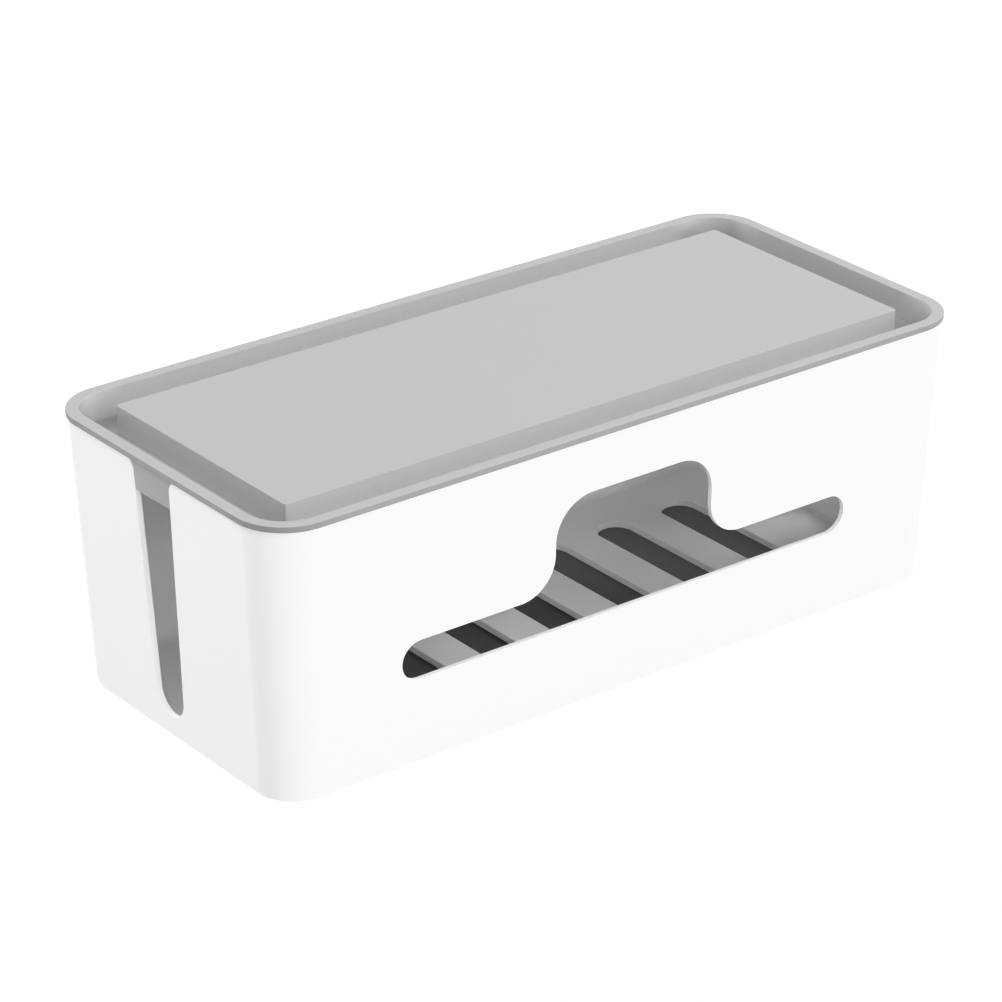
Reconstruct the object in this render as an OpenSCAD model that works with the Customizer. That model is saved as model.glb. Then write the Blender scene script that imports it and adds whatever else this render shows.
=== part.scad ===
// Cable management box: a drafted open box with a front access window, an open-topped
// cord slot in each end wall and a slotted floor, closed by a lift-off lid whose raised
// platform stands in a trough. Four anti-slip feet hold the floor vents off the table.
// Millimetres. The origin is on the table, under the middle of the box. +X is to the
// right and +Y to the back, as seen from the side with the access window.

/* [Lid] */
// Length of the lid over its lip
lid_length = 320; // [300:1:420]
// Width of the lid over its lip
lid_width = 143.5; // [136:0.5:200]
// Corner radius of the lip, seen from above
lid_corner_radius = 20.3; // [16:0.1:30]
// Thickness of the lip that lies on the rim of the box
lip_thickness = 2.3; // [1.8:0.1:4]
// How far the lip stands out past the rim of the box
lip_overhang = 0.9; // [0.3:0.1:3]
// Gap between the lid's trough wall and the inside of the box
lid_clearance = 0.3; // [0.2:0.05:1]

/* [Lid trough and platform] */
// Thickness of the trough's outer wall
trough_wall = 1.5; // [1.2:0.1:2.5]
// Width of the trough between its outer wall and the platform
trough_width = 13.8; // [8:0.1:24]
// Depth of the trough below the top of the lid
trough_depth = 11.2; // [6:0.1:18]
// Thickness of the trough's floor
trough_floor = 2.3; // [1.6:0.1:4]
// Thickness of the platform's side walls
platform_wall = 2; // [1.5:0.1:4]
// Thickness of the platform's top
platform_thickness = 2.3; // [1.6:0.1:4]
// Radius of the platform's upright corners
platform_corner_radius = 1; // [0.5:0.1:6]

/* [Lid tabs] */
// How far each tab hangs below the lip, into its cord slot
tab_drop = 12.2; // [6:0.1:18]
// Gap between a tab and the sides of its cord slot
tab_clearance = 0.3; // [0.2:0.05:0.8]
// Radius of a tab's lower outer edge
tab_edge_radius = 0.6; // [0.4:0.1:1.8]

/* [Box] */
// Height of the box from its underside to its rim
box_height = 107.3; // [98:0.1:160]
// Thickness of the box's walls
wall = 2.2; // [1.6:0.1:3.5]
// Thickness of the box's floor
floor_thickness = 2.2; // [1.8:0.1:4]
// How far each wall leans in from the rim down to the underside
wall_lean = 5.35; // [0:0.05:9]
// Corner radius of the box at its underside, seen from above
base_corner_radius = 15.6; // [12:0.1:24]
// Radius of the outer edge between the walls and the underside
base_edge_radius = 0.5; // [0.5:0.1:4]
// Radius of the inner edge between the walls and the floor
floor_edge_radius = 2; // [0.5:0.1:3.5]

/* [Front window] */
// Length of the low cord slot across the front
front_slot_length = 207.6; // [160:0.1:240]
// Height of the low cord slot
front_slot_height = 15.8; // [10:0.1:22]
// Height of the low cord slot's lower edge above the underside
front_slot_base = 33.6; // [16:0.1:38]
// Width of the raised window in the middle of the front
window_width = 72.7; // [50:0.1:100]
// Height of the raised window above the low cord slot
window_rise = 36.4; // [32:0.1:42]
// Radius of the raised window's two upper corners
window_corner_radius = 16; // [6:0.1:16.5]
// Radius of the sweep from the low cord slot up into the raised window
window_sweep_radius = 15; // [6:0.1:15.5]
// How far the window and its low slot lie to the right of the middle of the front
window_offset = 0.6; // [-10:0.1:10]

/* [Side cord slots] */
// Width of each side slot at the rim
side_slot_width = 22.8; // [20:0.1:30]
// Width of each side slot at its round lower end
side_slot_end_width = 17; // [12:0.1:19]
// Height of the lower end of each side slot above the underside
side_slot_base = 8.4; // [6:0.1:30]
// How far each side slot lies behind the middle of the end wall
side_slot_offset = 3.5; // [-10:0.1:10]
// Radius where the sides of a side slot roll over into the rim
side_slot_roll_radius = 5; // [2:0.1:6]

/* [Floor vents] */
// How many vents the floor has
vent_count = 8; // [2:1:8]
// Width of each vent
vent_width = 16.5; // [8:0.1:20]
// Length of each vent from front to back, over its round ends
vent_length = 85.5; // [50:0.5:86]
// Distance from one vent to the next
vent_pitch = 33; // [24:0.1:34]
// How far the middle of the row of vents lies to the right of the middle of the floor
vent_row_offset = -5.25; // [-5.5:0.05:5.5]

/* [Feet] */
// Diameter of each foot
foot_diameter = 18; // [12:0.5:20]
// How far the feet hold the underside off the table
foot_stand = 1.5; // [1:0.1:4]
// Depth of the seat that each foot is stuck into
foot_seat_depth = 0.8; // [0.4:0.1:1.2]
// Gap round a foot in its seat
foot_clearance = 0.3; // [0.2:0.05:1]
// Distance of each foot's middle from the sides of the underside
foot_inset = 14; // [13.5:0.1:16]
// Radius of a foot's lower edge
foot_edge_radius = 0.5; // [0.2:0.1:0.9]

/* [Hidden] */

// Facets round a full circle, round a corner of a sloping wall, and steps along a round edge
$fn = 96;
corner_facets = 48;
edge_steps = 4;

// Thickness of a slice, and how far a cut runs past the face that it opens
sliver = 0.01;
over = 1;

// How far the roll-over of a side slot passes the rim, so that it meets it at an angle
roll_crest = 0.05;

// Half lengths and widths: of the lip, the rim of the box and its underside
lid_half = [lid_length, lid_width] / 2;
rim_half = lid_half - [lip_overhang, lip_overhang];
base_half = rim_half - [wall_lean, wall_lean];
rim_corner_radius = lid_corner_radius - lip_overhang;

// The lid above the rim: where its faces lie inside the slope of the box's outer face
lid_top = box_height + lip_thickness;
trough_outer_inset = wall + lid_clearance;
trough_inner_inset = trough_outer_inset + trough_wall;
trough_bed = lid_top - trough_depth;
trough_underside = trough_bed - trough_floor;
platform_inset = trough_inner_inset + trough_width;
platform_half = rim_half - [platform_inset, platform_inset];
hollow_half = platform_half - [platform_wall, platform_wall];

// A cord slot's round end, and the tilt of its sides that just touches that end
slot_end_radius = side_slot_end_width / 2;
slot_end_height = side_slot_base + slot_end_radius;
slot_rise = box_height - slot_end_height;
slot_tilt = acos(slot_end_radius / norm([side_slot_width / 2, slot_rise]))
    - atan2(slot_rise, side_slot_width / 2);
roll_height = box_height - side_slot_roll_radius + roll_crest;
roll_middle = (slot_end_radius + side_slot_roll_radius
    + (roll_height - slot_end_height) * sin(slot_tilt)) / cos(slot_tilt);

front_slot_radius = front_slot_height / 2;
front_slot_top = front_slot_base + front_slot_height;
window_top = front_slot_top + window_rise;
window_half = window_width / 2;

foot_positions = [for (y = [-1, 1]) for (x = [-1, 1])
    [x * (base_half[0] - foot_inset), y * (base_half[1] - foot_inset)]];

// How far the outer face has come in from the rim at a height above the underside
function lean_at(height) = wall_lean * (box_height - height) / box_height;

// Corner radius of the outer face at a height above the underside
function corner_at(height) = rim_corner_radius
    + (base_corner_radius - rim_corner_radius) * (box_height - height) / box_height;

module rounded_outline(half, radius) {
    translate([-half[0] + radius, -half[1]]) square([2 * (half[0] - radius), 2 * half[1]]);
    translate([-half[0], -half[1] + radius]) square([2 * half[0], 2 * (half[1] - radius)]);
    for (x = [-1, 1], y = [-1, 1])
        translate([x * (half[0] - radius), y * (half[1] - radius)]) circle(radius);
}

// A thin slice across the box, this far inside its outer face, with its lower face at height
module slice(height, inset) {
    total = lean_at(height) + inset;
    translate([0, 0, height]) linear_extrude(sliver)
        rounded_outline(rim_half - [total, total], corner_at(height) - inset, $fn = corner_facets);
}

// A block that follows the slope of the box's walls, with a round lower edge if one is given
module sloping_block(bottom, top, inset, edge = 0) {
    hull() {
        slice(top - sliver, inset);
        for (step = [0 : edge > 0 ? edge_steps : 0]) {
            angle = 90 * step / edge_steps;
            slice(bottom + edge * (1 - sin(angle)), inset + edge * (1 - cos(angle)));
        }
    }
}

module mirrored_x() {
    children();
    mirror([1, 0, 0]) children();
}

// Turns an outline drawn as [x, height] to stand across the depth of the box
module standing_across(depth) {
    rotate([90, 0, 0]) linear_extrude(depth) children();
}

// Turns an outline drawn as [y, height] to stand along the length of the box
module standing_along(length) {
    rotate([90, 0, 90]) linear_extrude(length) children();
}

// Low cord slot with a raised window in its middle, drawn as [x, height]
module front_window_outline() {
    slot_middle = front_slot_base + front_slot_radius;
    straight = front_slot_length / 2 - front_slot_radius;
    translate([-straight, front_slot_base]) square([2 * straight, front_slot_height]);
    for (x = [-1, 1]) translate([x * straight, slot_middle]) circle(front_slot_radius);
    translate([-window_half, slot_middle])
        square([window_width, window_top - window_corner_radius - slot_middle]);
    translate([-window_half + window_corner_radius, slot_middle])
        square([window_width - 2 * window_corner_radius, window_top - slot_middle]);
    for (x = [-1, 1])
        translate([x * (window_half - window_corner_radius), window_top - window_corner_radius])
            circle(window_corner_radius);
    for (x = [0, 1]) mirror([x, 0]) difference() {
        translate([window_half - over, front_slot_top - over])
            square([window_sweep_radius + over, window_sweep_radius + over]);
        translate([window_half + window_sweep_radius, front_slot_top + window_sweep_radius])
            circle(window_sweep_radius);
    }
}

// Half the width of a cord slot, less a gap, at a height above the underside
function slot_half(height, gap) =
    (slot_end_radius - gap + (height - slot_end_height) * sin(slot_tilt)) / cos(slot_tilt);

// Open-topped cord slot, less a gap all round, drawn as [y, height]
module side_slot_outline(gap) {
    top = box_height + over;
    end_radius = slot_end_radius - gap;
    touch = [end_radius * cos(slot_tilt), slot_end_height - end_radius * sin(slot_tilt)];
    translate([side_slot_offset, 0]) {
        translate([0, slot_end_height]) circle(end_radius);
        polygon([
            [-touch[0], touch[1]],
            [touch[0], touch[1]],
            [slot_half(top, gap), top],
            [-slot_half(top, gap), top]
        ]);
        difference() {
            translate([-roll_middle, roll_height])
                square([2 * roll_middle, side_slot_roll_radius + over]);
            for (y = [-1, 1])
                translate([y * roll_middle, roll_height]) circle(side_slot_roll_radius + gap);
        }
    }
}

// Vent with round ends, long from front to back
module vent_outline() {
    straight = vent_length / 2 - vent_width / 2;
    translate([-vent_width / 2, -straight]) square([vent_width, 2 * straight]);
    for (y = [-1, 1]) translate([0, y * straight]) circle(vent_width / 2);
}

module box() {
    color([0.95, 0.95, 0.95]) translate([0, 0, foot_stand]) difference() {
        sloping_block(0, box_height, 0, base_edge_radius);
        sloping_block(floor_thickness, box_height + over, wall, floor_edge_radius);
        standing_across(lid_half[1]) translate([window_offset, 0]) front_window_outline();
        mirrored_x() standing_along(lid_half[0]) side_slot_outline(0);
        for (i = [0 : vent_count - 1])
            translate([vent_row_offset + (i - (vent_count - 1) / 2) * vent_pitch, 0, -over])
                linear_extrude(floor_thickness + 2 * over) vent_outline();
        for (place = foot_positions) translate([place[0], place[1], -over])
            cylinder(h = foot_seat_depth + over, d = foot_diameter + 2 * foot_clearance);
    }
}

// A tab seen from the front, from inside the trough's wall out to the slope of the box
module tab_section() {
    bottom = box_height - tab_drop;
    root_inset = trough_outer_inset + trough_wall / 2;
    outer_low = rim_half[0] - lean_at(bottom);
    edge_middle = [outer_low - tab_edge_radius, bottom + tab_edge_radius];
    difference() {
        polygon([
            [rim_half[0] - root_inset - lean_at(bottom), bottom],
            [outer_low, bottom],
            [rim_half[0], box_height],
            [rim_half[0], box_height + lip_thickness / 2],
            [rim_half[0] - root_inset, box_height + lip_thickness / 2]
        ]);
        difference() {
            translate([edge_middle[0], bottom - over])
                square([tab_edge_radius + over, tab_edge_radius + over]);
            translate(edge_middle) circle(tab_edge_radius);
        }
    }
}

module tab() {
    intersection() {
        translate([0, lid_half[1], 0]) standing_across(lid_width) tab_section();
        standing_along(lid_half[0]) side_slot_outline(tab_clearance);
    }
}

module lid() {
    color([0.78, 0.78, 0.78]) translate([0, 0, foot_stand]) {
        difference() {
            union() {
                translate([0, 0, box_height]) linear_extrude(lip_thickness)
                    rounded_outline(lid_half, lid_corner_radius);
                sloping_block(trough_underside, box_height + sliver, trough_outer_inset);
            }
            difference() {
                sloping_block(trough_bed, lid_top + over, trough_inner_inset);
                translate([0, 0, trough_bed - over]) linear_extrude(lid_top + over)
                    rounded_outline(platform_half, platform_corner_radius);
            }
            translate([-hollow_half[0], -hollow_half[1], trough_underside - over])
                cube([
                    2 * hollow_half[0],
                    2 * hollow_half[1],
                    lid_top - platform_thickness - trough_underside + over
                ]);
        }
        mirrored_x() tab();
    }
}

module foot(place) {
    height = foot_stand + foot_seat_depth;
    radius = foot_diameter / 2;
    color([0.55, 0.55, 0.56]) translate([place[0], place[1], 0]) rotate_extrude() {
        translate([0, foot_edge_radius]) square([radius, height - foot_edge_radius]);
        square([radius - foot_edge_radius, height]);
        translate([radius - foot_edge_radius, foot_edge_radius]) circle(foot_edge_radius);
    }
}

box();
lid();
foot(foot_positions[0]);  // front_left_foot
foot(foot_positions[1]);  // front_right_foot
foot(foot_positions[2]);  // rear_left_foot
foot(foot_positions[3]);  // rear_right_foot
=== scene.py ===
from math import acos, atan2, cos, hypot, pi, radians, sin, tan

import bmesh
import bpy
from mathutils import Matrix, Vector


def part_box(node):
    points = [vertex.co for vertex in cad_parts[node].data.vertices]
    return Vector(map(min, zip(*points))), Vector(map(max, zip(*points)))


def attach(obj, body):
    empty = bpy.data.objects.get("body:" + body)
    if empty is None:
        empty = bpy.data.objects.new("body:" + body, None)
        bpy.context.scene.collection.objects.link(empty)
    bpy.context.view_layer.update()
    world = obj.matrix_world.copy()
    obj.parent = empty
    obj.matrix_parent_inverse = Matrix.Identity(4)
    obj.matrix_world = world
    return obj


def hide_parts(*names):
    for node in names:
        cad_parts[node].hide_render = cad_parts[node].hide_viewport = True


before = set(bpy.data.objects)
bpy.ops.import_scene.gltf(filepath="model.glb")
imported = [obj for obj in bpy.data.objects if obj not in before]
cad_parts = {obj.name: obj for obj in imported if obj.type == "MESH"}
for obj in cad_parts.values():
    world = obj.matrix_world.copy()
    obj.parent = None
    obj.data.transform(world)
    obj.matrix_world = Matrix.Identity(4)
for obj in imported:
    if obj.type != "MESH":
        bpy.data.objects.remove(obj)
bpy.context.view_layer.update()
print("frame loaded:", ", ".join(sorted(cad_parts)))

mm = 0.001
boxLow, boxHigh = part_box("box")
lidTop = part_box("lid")[1].z
underside = boxLow.z
rim = boxHigh.z
rimHalf = Vector((boxHigh.x, boxHigh.y))  # half the length and width over the rim
past = 1 * mm  # how far a cutter runs on beyond what it cuts
capInset = 40 * mm  # any inset well inside the walls: it only gives the direction of a cap
scene = bpy.context.scene


def arc(centreX, centreY, radius, start, end, steps):
    points = []
    for i in range(steps + 1):
        angle = radians(start + (end - start) * i / steps)
        points.append((centreX + radius * cos(angle), centreY + radius * sin(angle)))
    return points


def roundedLoop(inset, height, radius, cornerSteps):
    points = []
    for quarter, (sideX, sideY) in enumerate(((1, 1), (-1, 1), (-1, -1), (1, -1))):
        centreX = sideX * (rimHalf.x - inset - radius)
        centreY = sideY * (rimHalf.y - inset - radius)
        for x, y in arc(centreX, centreY, radius, 90 * quarter, 90 * quarter + 90, cornerSteps):
            points.append((x, y, height))
    return points


def roundedProfile(corners, arcSteps=5):  # corners are (inset, height, upright corner radius, fillet)
    rings = []
    for i, (inset, height, radius, fillet) in enumerate(corners):
        if fillet is None:  # only gives the direction of a cap
            continue
        if fillet == 0:
            rings.append((inset, height, radius))
            continue
        here = Vector((inset, height))
        before = (Vector(corners[i - 1][:2]) - here).normalized()
        after = (Vector(corners[i + 1][:2]) - here).normalized()
        half = before.angle(after) / 2
        centre = here + (before + after).normalized() * fillet / sin(half)
        first = here + before * fillet / tan(half) - centre
        last = here + after * fillet / tan(half) - centre
        start = atan2(first.y, first.x)
        sweep = (atan2(last.y, last.x) - start + pi) % (2 * pi) - pi
        for k in range(arcSteps + 1):
            x = centre.x + fillet * cos(start + sweep * k / arcSteps)
            z = centre.y + fillet * sin(start + sweep * k / arcSteps)
            rings.append((x, z, radius - (x - inset)))
    return rings


def bridge(bm, one, other):  # faces between two loops that have as many points
    for i in range(len(one)):
        j = (i + 1) % len(one)
        bm.faces.new((one[i], one[j], other[j], other[i]))


def newPiece(name, bm):
    bmesh.ops.recalc_face_normals(bm, faces=bm.faces)
    mesh = bpy.data.meshes.new(name)
    bm.to_mesh(mesh)
    bm.free()
    piece = bpy.data.objects.new(name, mesh)
    scene.collection.objects.link(piece)
    return piece


def skinned(name, loops):  # closed skin over loops that all have as many points
    bm = bmesh.new()
    made = [[bm.verts.new(point) for point in loop] for loop in loops]
    for one, other in zip(made, made[1:]):
        bridge(bm, one, other)
    bm.faces.new(made[0])
    bm.faces.new(made[-1])
    return newPiece(name, bm)


def prism(name, outline, axis, start, end):  # outline is drawn across the axis that it is pushed along
    place = {
        "x": lambda u, v, w: (w, u, v),
        "y": lambda u, v, w: (u, w, v),
        "z": lambda u, v, w: (u, v, w),
    }[axis]
    return skinned(name, [[place(u, v, w) for u, v in outline] for w in (start, end)])


def applyModifiers(piece):
    evaluated = piece.evaluated_get(bpy.context.evaluated_depsgraph_get())
    mesh = bpy.data.meshes.new_from_object(evaluated)
    piece.modifiers.clear()
    old = piece.data
    piece.data = mesh
    bpy.data.meshes.remove(old)


def combine(piece, tools, operation):
    for tool in tools:
        modifier = piece.modifiers.new("cut", "BOOLEAN")
        modifier.operation = operation
        modifier.solver = "EXACT"
        modifier.object = tool
    applyModifiers(piece)
    for tool in tools:
        bpy.data.objects.remove(tool)


def roundEdges(piece, radius, segments, sharpest):
    modifier = piece.modifiers.new("edges", "BEVEL")
    modifier.width = radius
    modifier.segments = segments
    modifier.limit_method = "ANGLE"
    modifier.angle_limit = radians(sharpest)
    modifier.use_clamp_overlap = False
    applyModifiers(piece)


cleaning = {
    "mergeWithin": 0.002 * mm,
    "dropUnder": 0.001 * mm,
    "normalWeight": 100,
}


def smoothFaces(piece):
    bm = bmesh.new()
    bm.from_mesh(piece.data)
    bmesh.ops.remove_doubles(bm, verts=bm.verts, dist=cleaning["mergeWithin"])
    bmesh.ops.dissolve_degenerate(bm, edges=bm.edges, dist=cleaning["dropUnder"])
    bm.to_mesh(piece.data)
    bm.free()
    for face in piece.data.polygons:
        face.use_smooth = True
    modifier = piece.modifiers.new("normals", "WEIGHTED_NORMAL")
    modifier.weight = cleaning["normalWeight"]
    modifier.keep_sharp = False
    applyModifiers(piece)


boxShape = {
    "wall": 2.2 * mm,
    "floor": 2.2 * mm,
    "lean": 5.35 * mm,  # how far each wall comes in from the rim to the underside
    "rimCorner": 19.4 * mm,
    "baseCorner": 15.6 * mm,
    "baseEdge": 0.4 * mm,
    "floorEdge": 2 * mm,
    "edge": 0.2 * mm,  # rounding of every other edge
    "edgeSegments": 3,
    "edgeAngle": 30,  # degrees; edges that turn less stay as they are
    "cornerSteps": 24,
}


def leanAt(height):
    return boxShape["lean"] * (rim - height) / (rim - underside)


def cornerAt(height):
    change = boxShape["baseCorner"] - boxShape["rimCorner"]
    return boxShape["rimCorner"] + change * (rim - height) / (rim - underside)


windowShape = {
    "slotLength": 207.6 * mm,
    "slotHeight": 15.8 * mm,
    "slotBase": 33.6 * mm,  # above the underside
    "width": 72.7 * mm,
    "rise": 36.4 * mm,  # of the window above the slot
    "corner": 16 * mm,
    "sweep": 15 * mm,
    "offset": 0.6 * mm,  # to the right of the middle of the front
    "steps": 20,
}


def windowOutline():
    shape = windowShape
    low = underside + shape["slotBase"]
    high = low + shape["slotHeight"]
    top = high + shape["rise"]
    half = shape["width"] / 2
    endRadius = shape["slotHeight"] / 2
    endX = shape["slotLength"] / 2 - endRadius
    sweepX = half + shape["sweep"]
    cornerX = half - shape["corner"]
    steps = shape["steps"]
    right = arc(endX, low + endRadius, endRadius, -90, 90, steps)
    right += arc(sweepX, high + shape["sweep"], shape["sweep"], 270, 180, steps)
    right += arc(cornerX, top - shape["corner"], shape["corner"], 0, 90, steps)
    outline = right + [(-x, z) for x, z in reversed(right)]
    return [(x + shape["offset"], z) for x, z in outline]


sideSlotShape = {
    "rimWidth": 22.8 * mm,
    "endWidth": 17 * mm,
    "base": 8.4 * mm,  # above the underside
    "offset": 3.5 * mm,  # behind the middle of the end wall
    "roll": 5 * mm,  # radius where its sides roll over into the rim
    "crest": 0.05 * mm,  # how far the roll passes the rim
    "steps": 16,
}


def sideSlotOutline(gap, top):  # drawn as (y, z), smaller by the gap all round
    shape = sideSlotShape
    endRadius = shape["endWidth"] / 2
    endHeight = underside + shape["base"] + endRadius
    rise = rim - endHeight
    tilt = acos(endRadius / hypot(shape["rimWidth"] / 2, rise)) - atan2(rise, shape["rimWidth"] / 2)
    rollHeight = rim - shape["roll"] + shape["crest"]
    rollMiddle = (endRadius + shape["roll"] + (rollHeight - endHeight) * sin(tilt)) / cos(tilt)
    lean = tilt * 180 / pi
    right = arc(0, endHeight, endRadius - gap, -90, -lean, shape["steps"])
    right += arc(rollMiddle, rollHeight, shape["roll"] + gap, 180 - lean, 90, shape["steps"])
    right.append((rollMiddle, top))
    outline = right + [(-y, z) for y, z in reversed(right[1:])]
    return [(y + shape["offset"], z) for y, z in outline]


ventShape = {
    "count": 8,
    "width": 16.5 * mm,
    "length": 85.5 * mm,
    "pitch": 33 * mm,
    "rowOffset": -5.25 * mm,
    "draft": 18,  # degrees that its sides lean, so that it is widest at the top
    "steps": 24,
}


def ventOutline(x, height, floorTop):
    shape = ventShape
    middleY = (shape["length"] - shape["width"]) / 2
    radius = shape["width"] / 2 + (height - floorTop) * tan(radians(shape["draft"]))
    outline = arc(x, middleY, radius, 0, 180, shape["steps"])
    outline += arc(x, -middleY, radius, 180, 360, shape["steps"])
    return [(u, v, height) for u, v in outline]


footShape = {
    "radius": 9 * mm,
    "seatDepth": 0.8 * mm,
    "clearance": 0.3 * mm,
    "edge": 0.5 * mm,
    "grooves": (3.2 * mm, 5.6 * mm),  # radii of the shallow rings in its face
    "grooveDepth": 0.25 * mm,
    "grooveHalf": 0.45 * mm,
    "grooveSection": ((-1, 0), (-0.6, 0.7), (0, 1), (0.6, 0.7), (1, 0)),  # in halves and depths
    "topEdge": 0.2 * mm,
    "edgeSteps": (5, 3),  # at the face and at the top
    "steps": 72,
}


def footMiddle(name):
    low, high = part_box(name)
    return (low.x + high.x) / 2, (low.y + high.y) / 2


feet = [name for name in sorted(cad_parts) if name.endswith("foot")]


def boxBody():
    shape = boxShape
    wall = shape["wall"]
    floorTop = underside + shape["floor"]
    corners = [
        (capInset, floorTop, 0, None),
        (leanAt(floorTop) + wall, floorTop, cornerAt(floorTop) - wall, shape["floorEdge"]),
        (wall, rim, shape["rimCorner"] - wall, 0),
        (0, rim, shape["rimCorner"], 0),
        (shape["lean"], underside, shape["baseCorner"], shape["baseEdge"]),
        (capInset, underside, 0, None),
    ]
    rings = roundedProfile(corners)
    body = skinned("box_body", [roundedLoop(*ring, shape["cornerSteps"]) for ring in rings])
    cuts = [
        prism("windowCut", windowOutline(), "y", -2 * rimHalf.y, 0),
        prism("slotCut", sideSlotOutline(0, rim + past), "x", -2 * rimHalf.x, 2 * rimHalf.x),
    ]
    heights = (underside - past, floorTop + past)
    for i in range(ventShape["count"]):
        x = ventShape["rowOffset"] + (i - (ventShape["count"] - 1) / 2) * ventShape["pitch"]
        cuts.append(skinned("ventCut", [ventOutline(x, height, floorTop) for height in heights]))
    for name in feet:
        seatRadius = footShape["radius"] + footShape["clearance"]
        outline = arc(*footMiddle(name), seatRadius, 0, 360, footShape["steps"])[:-1]
        cuts.append(prism("seatCut", outline, "z", underside - past, underside + footShape["seatDepth"]))
    combine(body, cuts, "DIFFERENCE")
    roundEdges(body, shape["edge"], shape["edgeSegments"], shape["edgeAngle"])
    smoothFaces(body)
    return body


box = boxBody()
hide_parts("box")
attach(box, "box")
print("box body made:", len(box.data.polygons), "faces")


lidShape = {
    "overhang": 0.9 * mm,  # of the lip past the rim
    "corner": 20.3 * mm,
    "wallInset": 2.5 * mm,  # of the trough wall's outer side
    "troughWall": 1.5 * mm,
    "troughDepth": 11.2 * mm,
    "troughFloor": 2.3 * mm,
    "platformInset": 17.8 * mm,
    "platformCorner": 1 * mm,
    "platformWall": 2 * mm,
    "platformTop": 2.3 * mm,
    "edge": 0.18 * mm,
    "foot": 0.3 * mm,  # fillets at the trough's floor
    "lipEdge": 0.2 * mm,  # under the lip
    "lowerEdge": 0.8 * mm,
    "hollowCorner": 1 * mm,
    "hollowMouth": 0.3 * mm,
    "hollowTop": 0.5 * mm,
    "cornerSteps": 24,
}

tabShape = {
    "drop": 12.2 * mm,
    "clearance": 0.3 * mm,
    "rootInset": 3.2 * mm,
    "edge": 0.6 * mm,
    "edgeSteps": 6,
    "blank": (-20 * mm, 28 * mm),  # along the end wall, before the slot's outline trims it
    "trim": (100 * mm, 200 * mm),
}


def lidTab(side):
    shape = tabShape
    bottom = rim - shape["drop"]
    outer = rimHalf.x - leanAt(bottom)
    outline = [(rimHalf.x - shape["rootInset"] - leanAt(bottom), bottom)]
    outline += arc(outer - shape["edge"], bottom + shape["edge"], shape["edge"], -90, 0, shape["edgeSteps"])
    outline += [(rimHalf.x, rim + past), (rimHalf.x - shape["rootInset"], rim + past)]
    tab = prism("tab", [(side * x, z) for x, z in outline], "y", *shape["blank"])
    start, end = (side * x for x in shape["trim"])
    slot = prism("slot", sideSlotOutline(shape["clearance"], rim + past), "x", start, end)
    combine(tab, [slot], "INTERSECT")
    return tab


def lidCover():
    shape = lidShape
    bed = lidTop - shape["troughDepth"]
    bottom = bed - shape["troughFloor"]
    ceiling = lidTop - shape["platformTop"]
    inner = shape["wallInset"] + shape["troughWall"]
    outer = shape["wallInset"]
    hollow = shape["platformInset"] + shape["platformWall"]
    inset = shape["platformInset"]
    corners = [
        (capInset, lidTop, 0, None),
        (inset, lidTop, shape["platformCorner"], shape["edge"]),
        (inset, bed, shape["platformCorner"], shape["foot"]),
        (inner + leanAt(bed), bed, cornerAt(bed) - inner, shape["foot"]),
        (inner + leanAt(lidTop), lidTop, cornerAt(lidTop) - inner, shape["edge"]),
        (-shape["overhang"], lidTop, shape["corner"], shape["edge"]),
        (-shape["overhang"], rim, shape["corner"], shape["lipEdge"]),
        (outer, rim, cornerAt(rim) - outer, shape["lipEdge"]),
        (outer + leanAt(bottom), bottom, cornerAt(bottom) - outer, shape["lowerEdge"]),
        (hollow, bottom, shape["hollowCorner"], shape["hollowMouth"]),
        (hollow, ceiling, shape["hollowCorner"], shape["hollowTop"]),
        (capInset, ceiling, 0, None),
    ]
    rings = roundedProfile(corners)
    lid = skinned("lid_cover", [roundedLoop(*ring, shape["cornerSteps"]) for ring in rings])
    combine(lid, [lidTab(-1), lidTab(1)], "UNION")
    smoothFaces(lid)
    return lid


lid = lidCover()
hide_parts("lid")
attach(lid, "lid")
print("lid cover made:", len(lid.data.polygons), "faces")


def footPad(name):
    shape = footShape
    x, y = footMiddle(name)
    low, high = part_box(name)
    section = []
    for groove in shape["grooves"]:
        for across, depth in shape["grooveSection"]:
            section.append((groove + across * shape["grooveHalf"], depth * shape["grooveDepth"]))
    top = high.z - low.z
    radius, edge, topEdge = shape["radius"], shape["edge"], shape["topEdge"]
    section += arc(radius - edge, edge, edge, -90, 0, shape["edgeSteps"][0])
    section += arc(radius - topEdge, top - topEdge, topEdge, 0, 90, shape["edgeSteps"][1])
    bm = bmesh.new()
    rings = []
    for across, height in section:
        circle = arc(x, y, across, 0, 360, shape["steps"])[:-1]
        rings.append([bm.verts.new((u, v, low.z + height)) for u, v in circle])
    for one, other in zip(rings, rings[1:]):
        bridge(bm, one, other)
    for height, ring in ((0, rings[0]), (top, rings[-1])):
        middle = bm.verts.new((x, y, low.z + height))
        for one, other in zip(ring, ring[1:] + ring[:1]):
            bm.faces.new((middle, one, other))
    pad = newPiece(name + "_pad", bm)
    smoothFaces(pad)
    return pad


pads = []
for name in feet:
    pad = footPad(name)
    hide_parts(name)
    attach(pad, "box")
    pads.append(pad)
print("feet made:", len(pads))


def addNode(tree, kind, **settings):
    node = tree.nodes.new(kind)
    for name, value in settings.items():
        setattr(node, name, value)
    return node


def newGroup(name, inputs, outputs):
    group = bpy.data.node_groups.new(name, "ShaderNodeTree")
    for label, value in inputs.items():
        socket = group.interface.new_socket(label, in_out="INPUT", socket_type="NodeSocketFloat")
        socket.default_value = value
    for label in outputs:
        group.interface.new_socket(label, in_out="OUTPUT", socket_type="NodeSocketFloat")
    return group, group.nodes.new("NodeGroupInput"), group.nodes.new("NodeGroupOutput")


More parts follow.
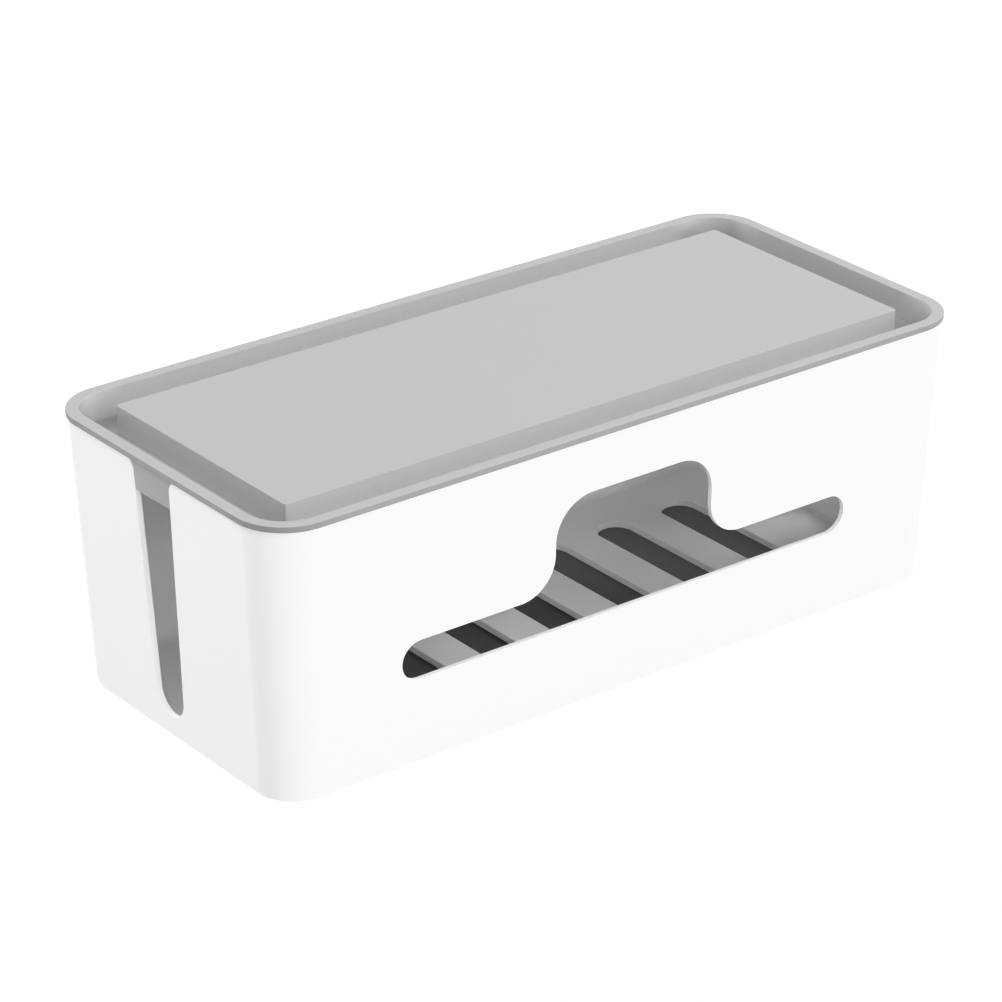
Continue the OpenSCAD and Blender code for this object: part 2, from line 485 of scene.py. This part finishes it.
def ramp(tree, value, start, end, atStart, atEnd, shape="LINEAR"):
    node = addNode(tree, "ShaderNodeMapRange", interpolation_type=shape)
    for name, number in (("From Min", start), ("From Max", end), ("To Min", atStart), ("To Max", atEnd)):
        node.inputs[name].default_value = number
    tree.links.new(value, node.inputs["Value"])
    return node.outputs["Result"]


def blended(tree, factor, one, other):  # each of the three can be a fixed number
    node = addNode(tree, "ShaderNodeMix", data_type="FLOAT")
    for label, given in (("Factor", factor), ("A", one), ("B", other)):
        if isinstance(given, (int, float)):
            node.inputs[label].default_value = given
        else:
            tree.links.new(given, node.inputs[label])
    return node.outputs["Result"]


def mathNode(tree, operation, *given):
    node = addNode(tree, "ShaderNodeMath", operation=operation)
    for value, socket in zip(given, node.inputs):
        tree.links.new(value, socket)
    return node.outputs["Value"]


def vectorNode(tree, operation, vector, fixed=None):
    node = addNode(tree, "ShaderNodeVectorMath", operation=operation)
    tree.links.new(vector, node.inputs[0])
    if fixed:
        node.inputs[1].default_value = fixed
    return node.outputs["Vector"]


def axesOf(tree, vector):
    node = addNode(tree, "ShaderNodeSeparateXYZ")
    tree.links.new(vector, node.inputs["Vector"])
    return node.outputs["X"], node.outputs["Y"], node.outputs["Z"]


def alignment(tree, one, other):
    node = addNode(tree, "ShaderNodeVectorMath", operation="DOT_PRODUCT")
    tree.links.new(one, node.inputs[0])
    tree.links.new(other, node.inputs[1])
    return node.outputs["Value"]


def noiseOf(tree, scale, detail):
    where = addNode(tree, "ShaderNodeTexCoord")
    noise = addNode(tree, "ShaderNodeTexNoise")
    noise.inputs["Detail"].default_value = detail
    tree.links.new(where.outputs["Object"], noise.inputs["Vector"])
    tree.links.new(scale, noise.inputs["Scale"])
    return noise.outputs["Fac"]


grainDetail = {
    "fine": 2,
    "coarse": 3,
    "tone": 2,
    "coarseShare": 0.4,
    "toneSpan": (0.3, 0.7),  # over which the roughness goes from least to most
}


def mouldGrainGroup():  # the fine spark-eroded skin of a moulding, and its slow change of tone
    detail = grainDetail
    group, given, made = newGroup("mouldGrain", {"Fine": 2600, "Coarse": 900, "Tone": 14}, ("Height", "Tone"))
    fine = noiseOf(group, given.outputs["Fine"], detail["fine"])
    coarse = noiseOf(group, given.outputs["Coarse"], detail["coarse"])
    tone = noiseOf(group, given.outputs["Tone"], detail["tone"])
    group.links.new(blended(group, detail["coarseShare"], fine, coarse), made.inputs["Height"])
    group.links.new(tone, made.inputs["Tone"])
    return group


edgeDetail = {
    "samples": 6,
    "turn": (0.995, 0.9),  # how far a face matches its softened edge, where the painted highlight starts and is full
    "noise": 3,
    "noiseSpan": (0.3, 0.6),
    "highlightSpan": (0.7, 1),
}


def edgeHighlightGroup():  # painted highlight: 1 along edges, broken up a little, and 0 on flats
    detail = edgeDetail
    group, given, made = newGroup("edgeHighlight", {"Radius": 0.6 * mm, "Breakup": 120}, ("Mask",))
    surface = addNode(group, "ShaderNodeNewGeometry")
    softened = addNode(group, "ShaderNodeBevel", samples=detail["samples"])
    group.links.new(given.outputs["Radius"], softened.inputs["Radius"])
    match = alignment(group, surface.outputs["Normal"], softened.outputs["Normal"])
    spread = ramp(group, match, *detail["turn"], 0, 1)
    noise = noiseOf(group, given.outputs["Breakup"], detail["noise"])
    rough = ramp(group, noise, *detail["noiseSpan"], *detail["highlightSpan"])
    group.links.new(mathNode(group, "MULTIPLY", spread, rough), made.inputs["Mask"])
    return group


def reachPast(tree, x, y):  # how far a point lies outside a rectangle with these halves, seen from above
    point = addNode(tree, "ShaderNodeTexCoord").outputs["Object"]
    steps = (("ABSOLUTE", None), ("SUBTRACT", (x, y, 0)), ("MAXIMUM", (0, 0, 0)), ("MULTIPLY", (1, 1, 0)))
    for operation, fixed in steps:
        point = vectorNode(tree, operation, point, fixed)
    length = addNode(tree, "ShaderNodeVectorMath", operation="LENGTH")
    tree.links.new(point, length.inputs[0])
    return length.outputs["Value"]


def cornerMask(tree, x, y, fade):  # 1 past a rectangle's corners, fading out along its sides
    where = addNode(tree, "ShaderNodeTexCoord")
    mirrored = vectorNode(tree, "ABSOLUTE", where.outputs["Object"])
    pastX, pastY = axesOf(tree, vectorNode(tree, "SUBTRACT", mirrored, (x - fade, y - fade, 0)))[:2]
    return ramp(tree, mathNode(tree, "MINIMUM", pastX, pastY), 0, fade, 0, 1)


lidShadeFactors = {  # painted light and shade, as factors on the lid's own colour where light falls unevenly; pairs are for faces that look along X and along Y
    "bed": 0.885,
    "wallTop": (0.965, 1.05),
    "wallFoot": (1.45, 1.95),
    "fadeTop": 1.2 * mm,  # below the lid's top
    "fadeFoot": 10.5 * mm,
    "lipSide": (0.83, 0.79),
    "tab": 1.04,
    "under": 1.55,
    "crease": 0.7,  # painted shade along the foot of the trough's walls
    "creaseSpan": (0.1 * mm, 0.8 * mm),  # above the trough's bed
    "outerWall": (0.88, 0.94),  # further factor for the wall round the trough
    "cornerWall": (1.15, 1.23),
    "litCorner": 0.85,  # of a corner's wall where it looks along +X
    "litTurn": (-0.4, 0.6),
    "cornerLip": 0.73,
    "cornerFade": 12 * mm,
    "alongX": (0.3, 0.8),  # how far a face looks along X, where its tone starts to change and ends
    "offPlatform": (6 * mm, 10 * mm),  # out from the middles of the lid's corners
    "lipReach": (-4 * mm, -3 * mm),  # from the lip's side
    "tabTop": (-0.2 * mm, 0.1 * mm),  # from the rim
    "bedSpan": (2 * mm, 6 * mm),  # above the trough's bed
    "upright": (0.9, 0.4),  # how far a face looks up
    "downward": (-0.4, -0.9),
}


# painted light and shade on the lid: trough walls lighter towards their foot, bed and crease darker, lip
# sides darker, downward faces lighter
def lidShadeGroup():
    tones = lidShadeFactors
    group, given, made = newGroup("lidPaintedShade", {}, ("Tone",))
    where = addNode(group, "ShaderNodeTexCoord")
    height = axesOf(group, where.outputs["Object"])[2]
    lookX, lookY, lookZ = axesOf(group, where.outputs["Normal"])
    alongX = ramp(group, mathNode(group, "ABSOLUTE", lookX), *tones["alongX"], 0, 1)

    def byFacing(name):
        return blended(group, alongX, tones[name][1], tones[name][0])

    def heightRamp(base, span, atStart, atEnd):
        return ramp(group, height, base + span[0], base + span[1], atStart, atEnd)

    lipCorner = lidShape["corner"]
    halfX = rimHalf.x + lidShape["overhang"] - lipCorner
    halfY = rimHalf.y + lidShape["overhang"] - lipCorner
    reach = reachPast(group, halfX, halfY)
    offPlatform = ramp(group, reach, *tones["offPlatform"], 0, 1)
    corner = blended(group, offPlatform, 0, cornerMask(group, halfX, halfY, tones["cornerFade"]))
    bed = lidTop - lidShape["troughDepth"]
    depth = heightRamp(lidTop, (-tones["fadeTop"], -tones["fadeFoot"]), 0, 1)
    wall = blended(group, depth, byFacing("wallTop"), byFacing("wallFoot"))
    wall = mathNode(group, "MULTIPLY", wall, blended(group, offPlatform, 1, byFacing("outerWall")))
    toRight = ramp(group, lookX, *tones["litTurn"], tones["cornerWall"][0], tones["litCorner"])
    turn = blended(group, alongX, tones["cornerWall"][1], toRight)
    crease = heightRamp(bed, tones["creaseSpan"], tones["crease"], 1)
    wall = mathNode(group, "MULTIPLY", blended(group, corner, wall, turn), crease)
    lip = blended(group, corner, byFacing("lipSide"), tones["cornerLip"])
    side = blended(group, heightRamp(rim, tones["tabTop"], 0, 1), tones["tab"], lip)
    outerStart, outerEnd = (lipCorner + step for step in tones["lipReach"])
    upright = blended(group, ramp(group, reach, outerStart, outerEnd, 0, 1), wall, side)
    level = heightRamp(bed, tones["bedSpan"], tones["bed"], 1)
    shown = blended(group, ramp(group, lookZ, *tones["upright"], 0, 1), level, upright)
    under = ramp(group, lookZ, *tones["downward"], 0, 1)
    group.links.new(blended(group, under, shown, tones["under"]), made.inputs["Tone"])
    return group


boxShadeFactors = {
    "inside": 1.04,  # painted light: of every face that looks to the middle of the box
    "middle": 60 * mm,  # above the floor under the box
    "edge": 4 * mm,
    "corner": 0.967,  # painted shade: of the upright corners, next to the ends
    "cornerStart": (0.9985, 0.9945),  # how far their faces look along X
    "cornerEnd": (0.75, 0.4),
    "backFoot": 0.9,  # painted shade: of the back wall just above the floor
    "backTurn": (-0.3, -0.7),  # how far its faces look along Y
    "footSpan": (5.5 * mm, 9.5 * mm),
    "paintedGlowSpan": (125 * mm, 150 * mm),  # painted glow: from the middle, where the inside starts to glow and is full
}


# painted light and shade on the box: inside lighter, upright corners and the back wall's foot darker, and a
# painted glow inside near the ends
def boxShadeGroup():
    tones = boxShadeFactors
    group, given, made = newGroup("boxPaintedShade", {}, ("Tone", "PaintedGlow"))
    where = addNode(group, "ShaderNodeTexCoord")
    fromMiddle = vectorNode(group, "SUBTRACT", where.outputs["Object"], (0, 0, tones["middle"]))
    outward = alignment(group, fromMiddle, where.outputs["Normal"])
    inside = ramp(group, outward, -tones["edge"], tones["edge"], 1, 0)
    tone = ramp(group, outward, -tones["edge"], tones["edge"], tones["inside"], 1)
    place = axesOf(group, where.outputs["Object"])
    lookX, lookY = axesOf(group, where.outputs["Normal"])[:2]
    sideways = mathNode(group, "ABSOLUTE", lookX)
    turned = ramp(group, sideways, *tones["cornerStart"], 1, tones["corner"])
    toFront = ramp(group, sideways, *tones["cornerEnd"], 0, 1)
    corner = blended(group, toFront, turned, 1)
    lowWall = ramp(group, place[2], *tones["footSpan"], tones["backFoot"], 1)
    foot = blended(group, ramp(group, lookY, *tones["backTurn"], 0, 1), 1, lowWall)
    tone = mathNode(group, "MULTIPLY", tone, blended(group, inside, 1, foot))
    group.links.new(mathNode(group, "MULTIPLY", tone, corner), made.inputs["Tone"])
    nearEnd = ramp(group, mathNode(group, "ABSOLUTE", place[0]), *tones["paintedGlowSpan"], 0, 1)
    group.links.new(mathNode(group, "MULTIPLY", inside, nearEnd), made.inputs["PaintedGlow"])
    return group


mouldGrain = mouldGrainGroup()
edgeHighlight = edgeHighlightGroup()


def plastic(name, look, shadeGroup=None):
    material = bpy.data.materials.new(name)
    material.use_nodes = True
    tree = material.node_tree
    link = tree.links.new
    shader = tree.nodes["Principled BSDF"]
    grain = addNode(tree, "ShaderNodeGroup", node_tree=mouldGrain)
    grain.inputs["Fine"].default_value = look["fine"]
    grain.inputs["Coarse"].default_value = look["coarse"]
    edgeGlint = addNode(tree, "ShaderNodeGroup", node_tree=edgeHighlight)
    edgeGlint.inputs["Radius"].default_value = look["highlightRadius"]
    toned = addNode(tree, "ShaderNodeMix", data_type="RGBA")
    toned.inputs["A"].default_value = (*look["colour"], 1)
    toned.inputs["B"].default_value = (*look["otherColour"], 1)
    link(grain.outputs["Tone"], toned.inputs["Factor"])
    # painted highlight: edges get a lighter colour than the flats
    highlighted = addNode(tree, "ShaderNodeMix", data_type="RGBA")
    highlighted.inputs["B"].default_value = (*look["highlightColour"], 1)
    link(edgeGlint.outputs["Mask"], highlighted.inputs["Factor"])
    link(toned.outputs["Result"], highlighted.inputs["A"])
    colour = highlighted.outputs["Result"]
    # painted light and shade: the shade group scales the colour, and its painted glow feeds the emission
    if shadeGroup:
        tone = addNode(tree, "ShaderNodeGroup", node_tree=shadeGroup)
        scaled = addNode(tree, "ShaderNodeVectorMath", operation="SCALE")
        link(colour, scaled.inputs["Vector"])
        link(tone.outputs["Tone"], scaled.inputs["Scale"])
        colour = scaled.outputs["Vector"]
        if "paintedGlow" in look:
            link(tone.outputs["PaintedGlow"], shader.inputs["Emission Color"])
            shader.inputs["Emission Strength"].default_value = look["paintedGlow"]
    link(colour, shader.inputs["Base Color"])
    least, most = look["roughness"] - look["roughnessSpread"], look["roughness"] + look["roughnessSpread"]
    gloss = ramp(tree, grain.outputs["Tone"], *grainDetail["toneSpan"], least, most)
    link(gloss, shader.inputs["Roughness"])
    bump = addNode(tree, "ShaderNodeBump")
    bump.inputs["Strength"].default_value = look["bump"]
    bump.inputs["Distance"].default_value = look["bumpDepth"]
    link(grain.outputs["Height"], bump.inputs["Height"])
    link(bump.outputs["Normal"], shader.inputs["Normal"])
    shader.inputs["IOR"].default_value = look["ior"]
    return material


whiteLook = {
    "colour": (0.9, 0.9, 0.9),
    "otherColour": (0.89, 0.89, 0.885),
    "highlightColour": (0.93, 0.93, 0.93),
    "fine": 2600,
    "coarse": 900,
    "highlightRadius": 0.5 * mm,
    "roughness": 0.45,
    "roughnessSpread": 0.03,
    "bump": 0.25,
    "bumpDepth": 0.02 * mm,
    "ior": 1.46,
    "paintedGlow": 0.022,  # painted light: the inside glows near the thin end walls
}

greyLook = {
    "colour": (0.329, 0.329, 0.329),
    "otherColour": (0.322, 0.322, 0.323),
    "highlightColour": (0.34, 0.34, 0.34),
    "fine": 2400,
    "coarse": 800,
    "highlightRadius": 0.5 * mm,
    "roughness": 0.66,
    "roughnessSpread": 0.03,
    "bump": 0.25,
    "bumpDepth": 0.02 * mm,
    "ior": 1.42,
}

rubberLook = {
    "colour": (0.06, 0.06, 0.063),
    "otherColour": (0.075, 0.075, 0.077),
    "highlightColour": (0.1, 0.1, 0.1),
    "fine": 1800,
    "coarse": 500,
    "highlightRadius": 0.4 * mm,
    "roughness": 0.85,
    "roughnessSpread": 0.06,
    "bump": 0.6,
    "bumpDepth": 0.05 * mm,
    "ior": 1.5,
}

whitePlastic = plastic("whitePlastic", whiteLook, boxShadeGroup())
greyPlastic = plastic("greyPlastic", greyLook, lidShadeGroup())
footRubber = plastic("footRubber", rubberLook)
for piece, material in [(box, whitePlastic), (lid, greyPlastic)] + [(pad, footRubber) for pad in pads]:
    piece.data.materials.clear()
    piece.data.materials.append(material)
print("materials made")


studio = {
    "floorColour": (1, 1, 1),
    "floorRadius": 6,
    "floorSegments": 96,
    "floorShown": 1.6,  # how bright the floor looks
    "floorBounce": 0.426,  # how much it lights the object
    "shadeColour": (0.08, 0.08, 0.08),  # painted shade: the dark floor under the box
    "shadeGlow": (0.012, 0.038),  # painted light: how that floor glows, more towards the back right corner
    "paintedGlowSpan": (15 * mm, 80 * mm),
    "shadeInset": 4 * mm,
    "shadeEdge": 4 * mm,
    "worldLight": 0,
}


def studioFloor():
    bm = bmesh.new()
    bmesh.ops.create_circle(bm, cap_ends=True, segments=studio["floorSegments"], radius=studio["floorRadius"])
    floor = newPiece("studio_floor", bm)
    material = bpy.data.materials.new("studioFloor")
    material.use_nodes = True
    tree = material.node_tree
    link = tree.links.new
    tree.nodes.remove(tree.nodes["Principled BSDF"])
    reach = boxShape["lean"] + boxShape["baseCorner"]
    distance = reachPast(tree, rimHalf.x - reach, rimHalf.y - reach)
    shadeEnd = boxShape["baseCorner"] - studio["shadeInset"]
    openFloor = ramp(tree, distance, shadeEnd - studio["shadeEdge"], shadeEnd, 0, 1, "SMOOTHSTEP")
    path = addNode(tree, "ShaderNodeLightPath")
    seen = ramp(tree, path.outputs["Is Camera Ray"], 0, 1, studio["floorBounce"], studio["floorShown"])
    lit = addNode(tree, "ShaderNodeEmission")
    lit.inputs["Color"].default_value = (*studio["floorColour"], 1)
    link(seen, lit.inputs["Strength"])
    shade = addNode(tree, "ShaderNodeBsdfDiffuse")
    shade.inputs["Color"].default_value = (*studio["shadeColour"], 1)
    # painted light: the dark floor under the box glows a little, more towards the back
    glimmer = addNode(tree, "ShaderNodeEmission")
    where = addNode(tree, "ShaderNodeTexCoord")
    across = addNode(tree, "ShaderNodeVectorMath", operation="DOT_PRODUCT")
    across.inputs[1].default_value = (1, 1, 0)  # towards the back right corner
    link(where.outputs["Object"], across.inputs[0])
    paintedGlow = ramp(tree, across.outputs["Value"], *studio["paintedGlowSpan"], *studio["shadeGlow"])
    link(paintedGlow, glimmer.inputs["Strength"])
    under = addNode(tree, "ShaderNodeAddShader")
    link(shade.outputs["BSDF"], under.inputs[0])
    link(glimmer.outputs["Emission"], under.inputs[1])
    both = addNode(tree, "ShaderNodeMixShader")
    link(openFloor, both.inputs["Fac"])
    link(under.outputs["Shader"], both.inputs[1])
    link(lit.outputs["Emission"], both.inputs[2])
    side = addNode(tree, "ShaderNodeNewGeometry")
    clear = addNode(tree, "ShaderNodeBsdfTransparent")
    oneSided = addNode(tree, "ShaderNodeMixShader")  # the underside can be looked at through the floor
    link(side.outputs["Backfacing"], oneSided.inputs["Fac"])
    link(both.outputs["Shader"], oneSided.inputs[1])
    link(clear.outputs["BSDF"], oneSided.inputs[2])
    link(oneSided.outputs["Shader"], tree.nodes["Material Output"].inputs["Surface"])
    floor.data.materials.append(material)


lightShape = {
    "size": 1.3,
    "distance": 2.2,
}

studioLights = {  # azimuth 0 is in front, -90 on the left, and power is in watts
    "lowBackLeft": {"azimuth": -150, "elevation": 4, "power": 46.0},
    "lowSideLeft": {"azimuth": -60, "elevation": 4, "power": 13.7},
    "lowFront": {"azimuth": 0, "elevation": 4, "power": 21.6},
    "lowSideRight": {"azimuth": 60, "elevation": 4, "power": 31.4},
    "midFrontLeft": {"azimuth": -30, "elevation": 20, "power": 17.0},
    "midRight": {"azimuth": 90, "elevation": 20, "power": 31.4},
    "highBackLeft": {"azimuth": -150, "elevation": 42, "power": 36.0},
    "highFront": {"azimuth": 0, "elevation": 42, "power": 10.6},
    "highFrontRight": {"azimuth": 30, "elevation": 42, "power": 15.9},
    "highRearRight": {"azimuth": 120, "elevation": 42, "power": 12.4},
    "topSideLeft": {"azimuth": -60, "elevation": 68, "power": 10.1},
}


def softLight(name, azimuth, elevation, power):
    data = bpy.data.lights.new(name, "AREA")
    data.shape = "SQUARE"
    data.size = lightShape["size"]
    data.energy = power
    light = bpy.data.objects.new(name, data)
    a, e = radians(azimuth), radians(elevation)
    back = Vector((sin(a) * cos(e), -cos(a) * cos(e), sin(e)))
    light.location = back * lightShape["distance"] + Vector((0, 0, lidTop / 2))
    light.rotation_euler = back.to_track_quat("Z", "Y").to_euler()
    light.visible_camera = False
    scene.collection.objects.link(light)


def studioWorld():
    world = bpy.data.worlds.new("studioWorld")
    world.use_nodes = True
    tree = world.node_tree
    path = addNode(tree, "ShaderNodeLightPath")
    seen = ramp(tree, path.outputs["Is Camera Ray"], 0, 1, studio["worldLight"], studio["floorShown"])
    tree.links.new(seen, tree.nodes["Background"].inputs["Strength"])
    tree.nodes["Background"].inputs["Color"].default_value = (*studio["floorColour"], 1)
    return world


studioFloor()
for name, light in studioLights.items():
    softLight(name + "Light", **light)
scene.world = studioWorld()

display = {
    "white": 1.6,
    "shoulder": ((0.8, 0.79), (0.9, 0.865), (1.05, 0.92), (1.25, 0.964), (1.4, 0.985)),
}
scene.view_settings.view_transform = "Standard"
scene.view_settings.look = "None"
scene.view_settings.use_curve_mapping = True
mapping = scene.view_settings.curve_mapping
mapping.white_level = (display["white"],) * 3
toneCurve = mapping.curves[3]
toneCurve.points[1].location = (1, 1)
toneCurve.points[0].handle_type = "VECTOR"
for light, shown in display["shoulder"]:
    toneCurve.points.new(light / display["white"], shown)
mapping.update()

cameraShape = {
    "azimuth": -37.676,
    "elevation": 25.215,
    "roll": -0.063,
    "place": (-0.8219, -1.05565, 0.6819),
    "lens": 141.39,
    "sensor": 36,
    "shift": (-0.00156, -0.0001),
    "clipStart": 0.05,
}


def studioCamera():
    a, e, r = (radians(cameraShape[name]) for name in ("azimuth", "elevation", "roll"))
    back = Vector((sin(a) * cos(e), -cos(a) * cos(e), sin(e)))
    level = Vector((cos(a), sin(a), 0))
    upright = back.cross(level)
    right = level * cos(r) + upright * sin(r)
    up = upright * cos(r) - level * sin(r)
    data = bpy.data.cameras.new("camera")
    data.lens = cameraShape["lens"]
    data.sensor_width = cameraShape["sensor"]
    data.shift_x, data.shift_y = cameraShape["shift"]
    data.clip_start = cameraShape["clipStart"]
    camera = bpy.data.objects.new("camera", data)
    turn = Matrix((right, up, back)).transposed().to_4x4()
    turn.translation = cameraShape["place"]
    camera.matrix_world = turn
    scene.collection.objects.link(camera)
    return camera


scene.camera = studioCamera()
print("studio made")
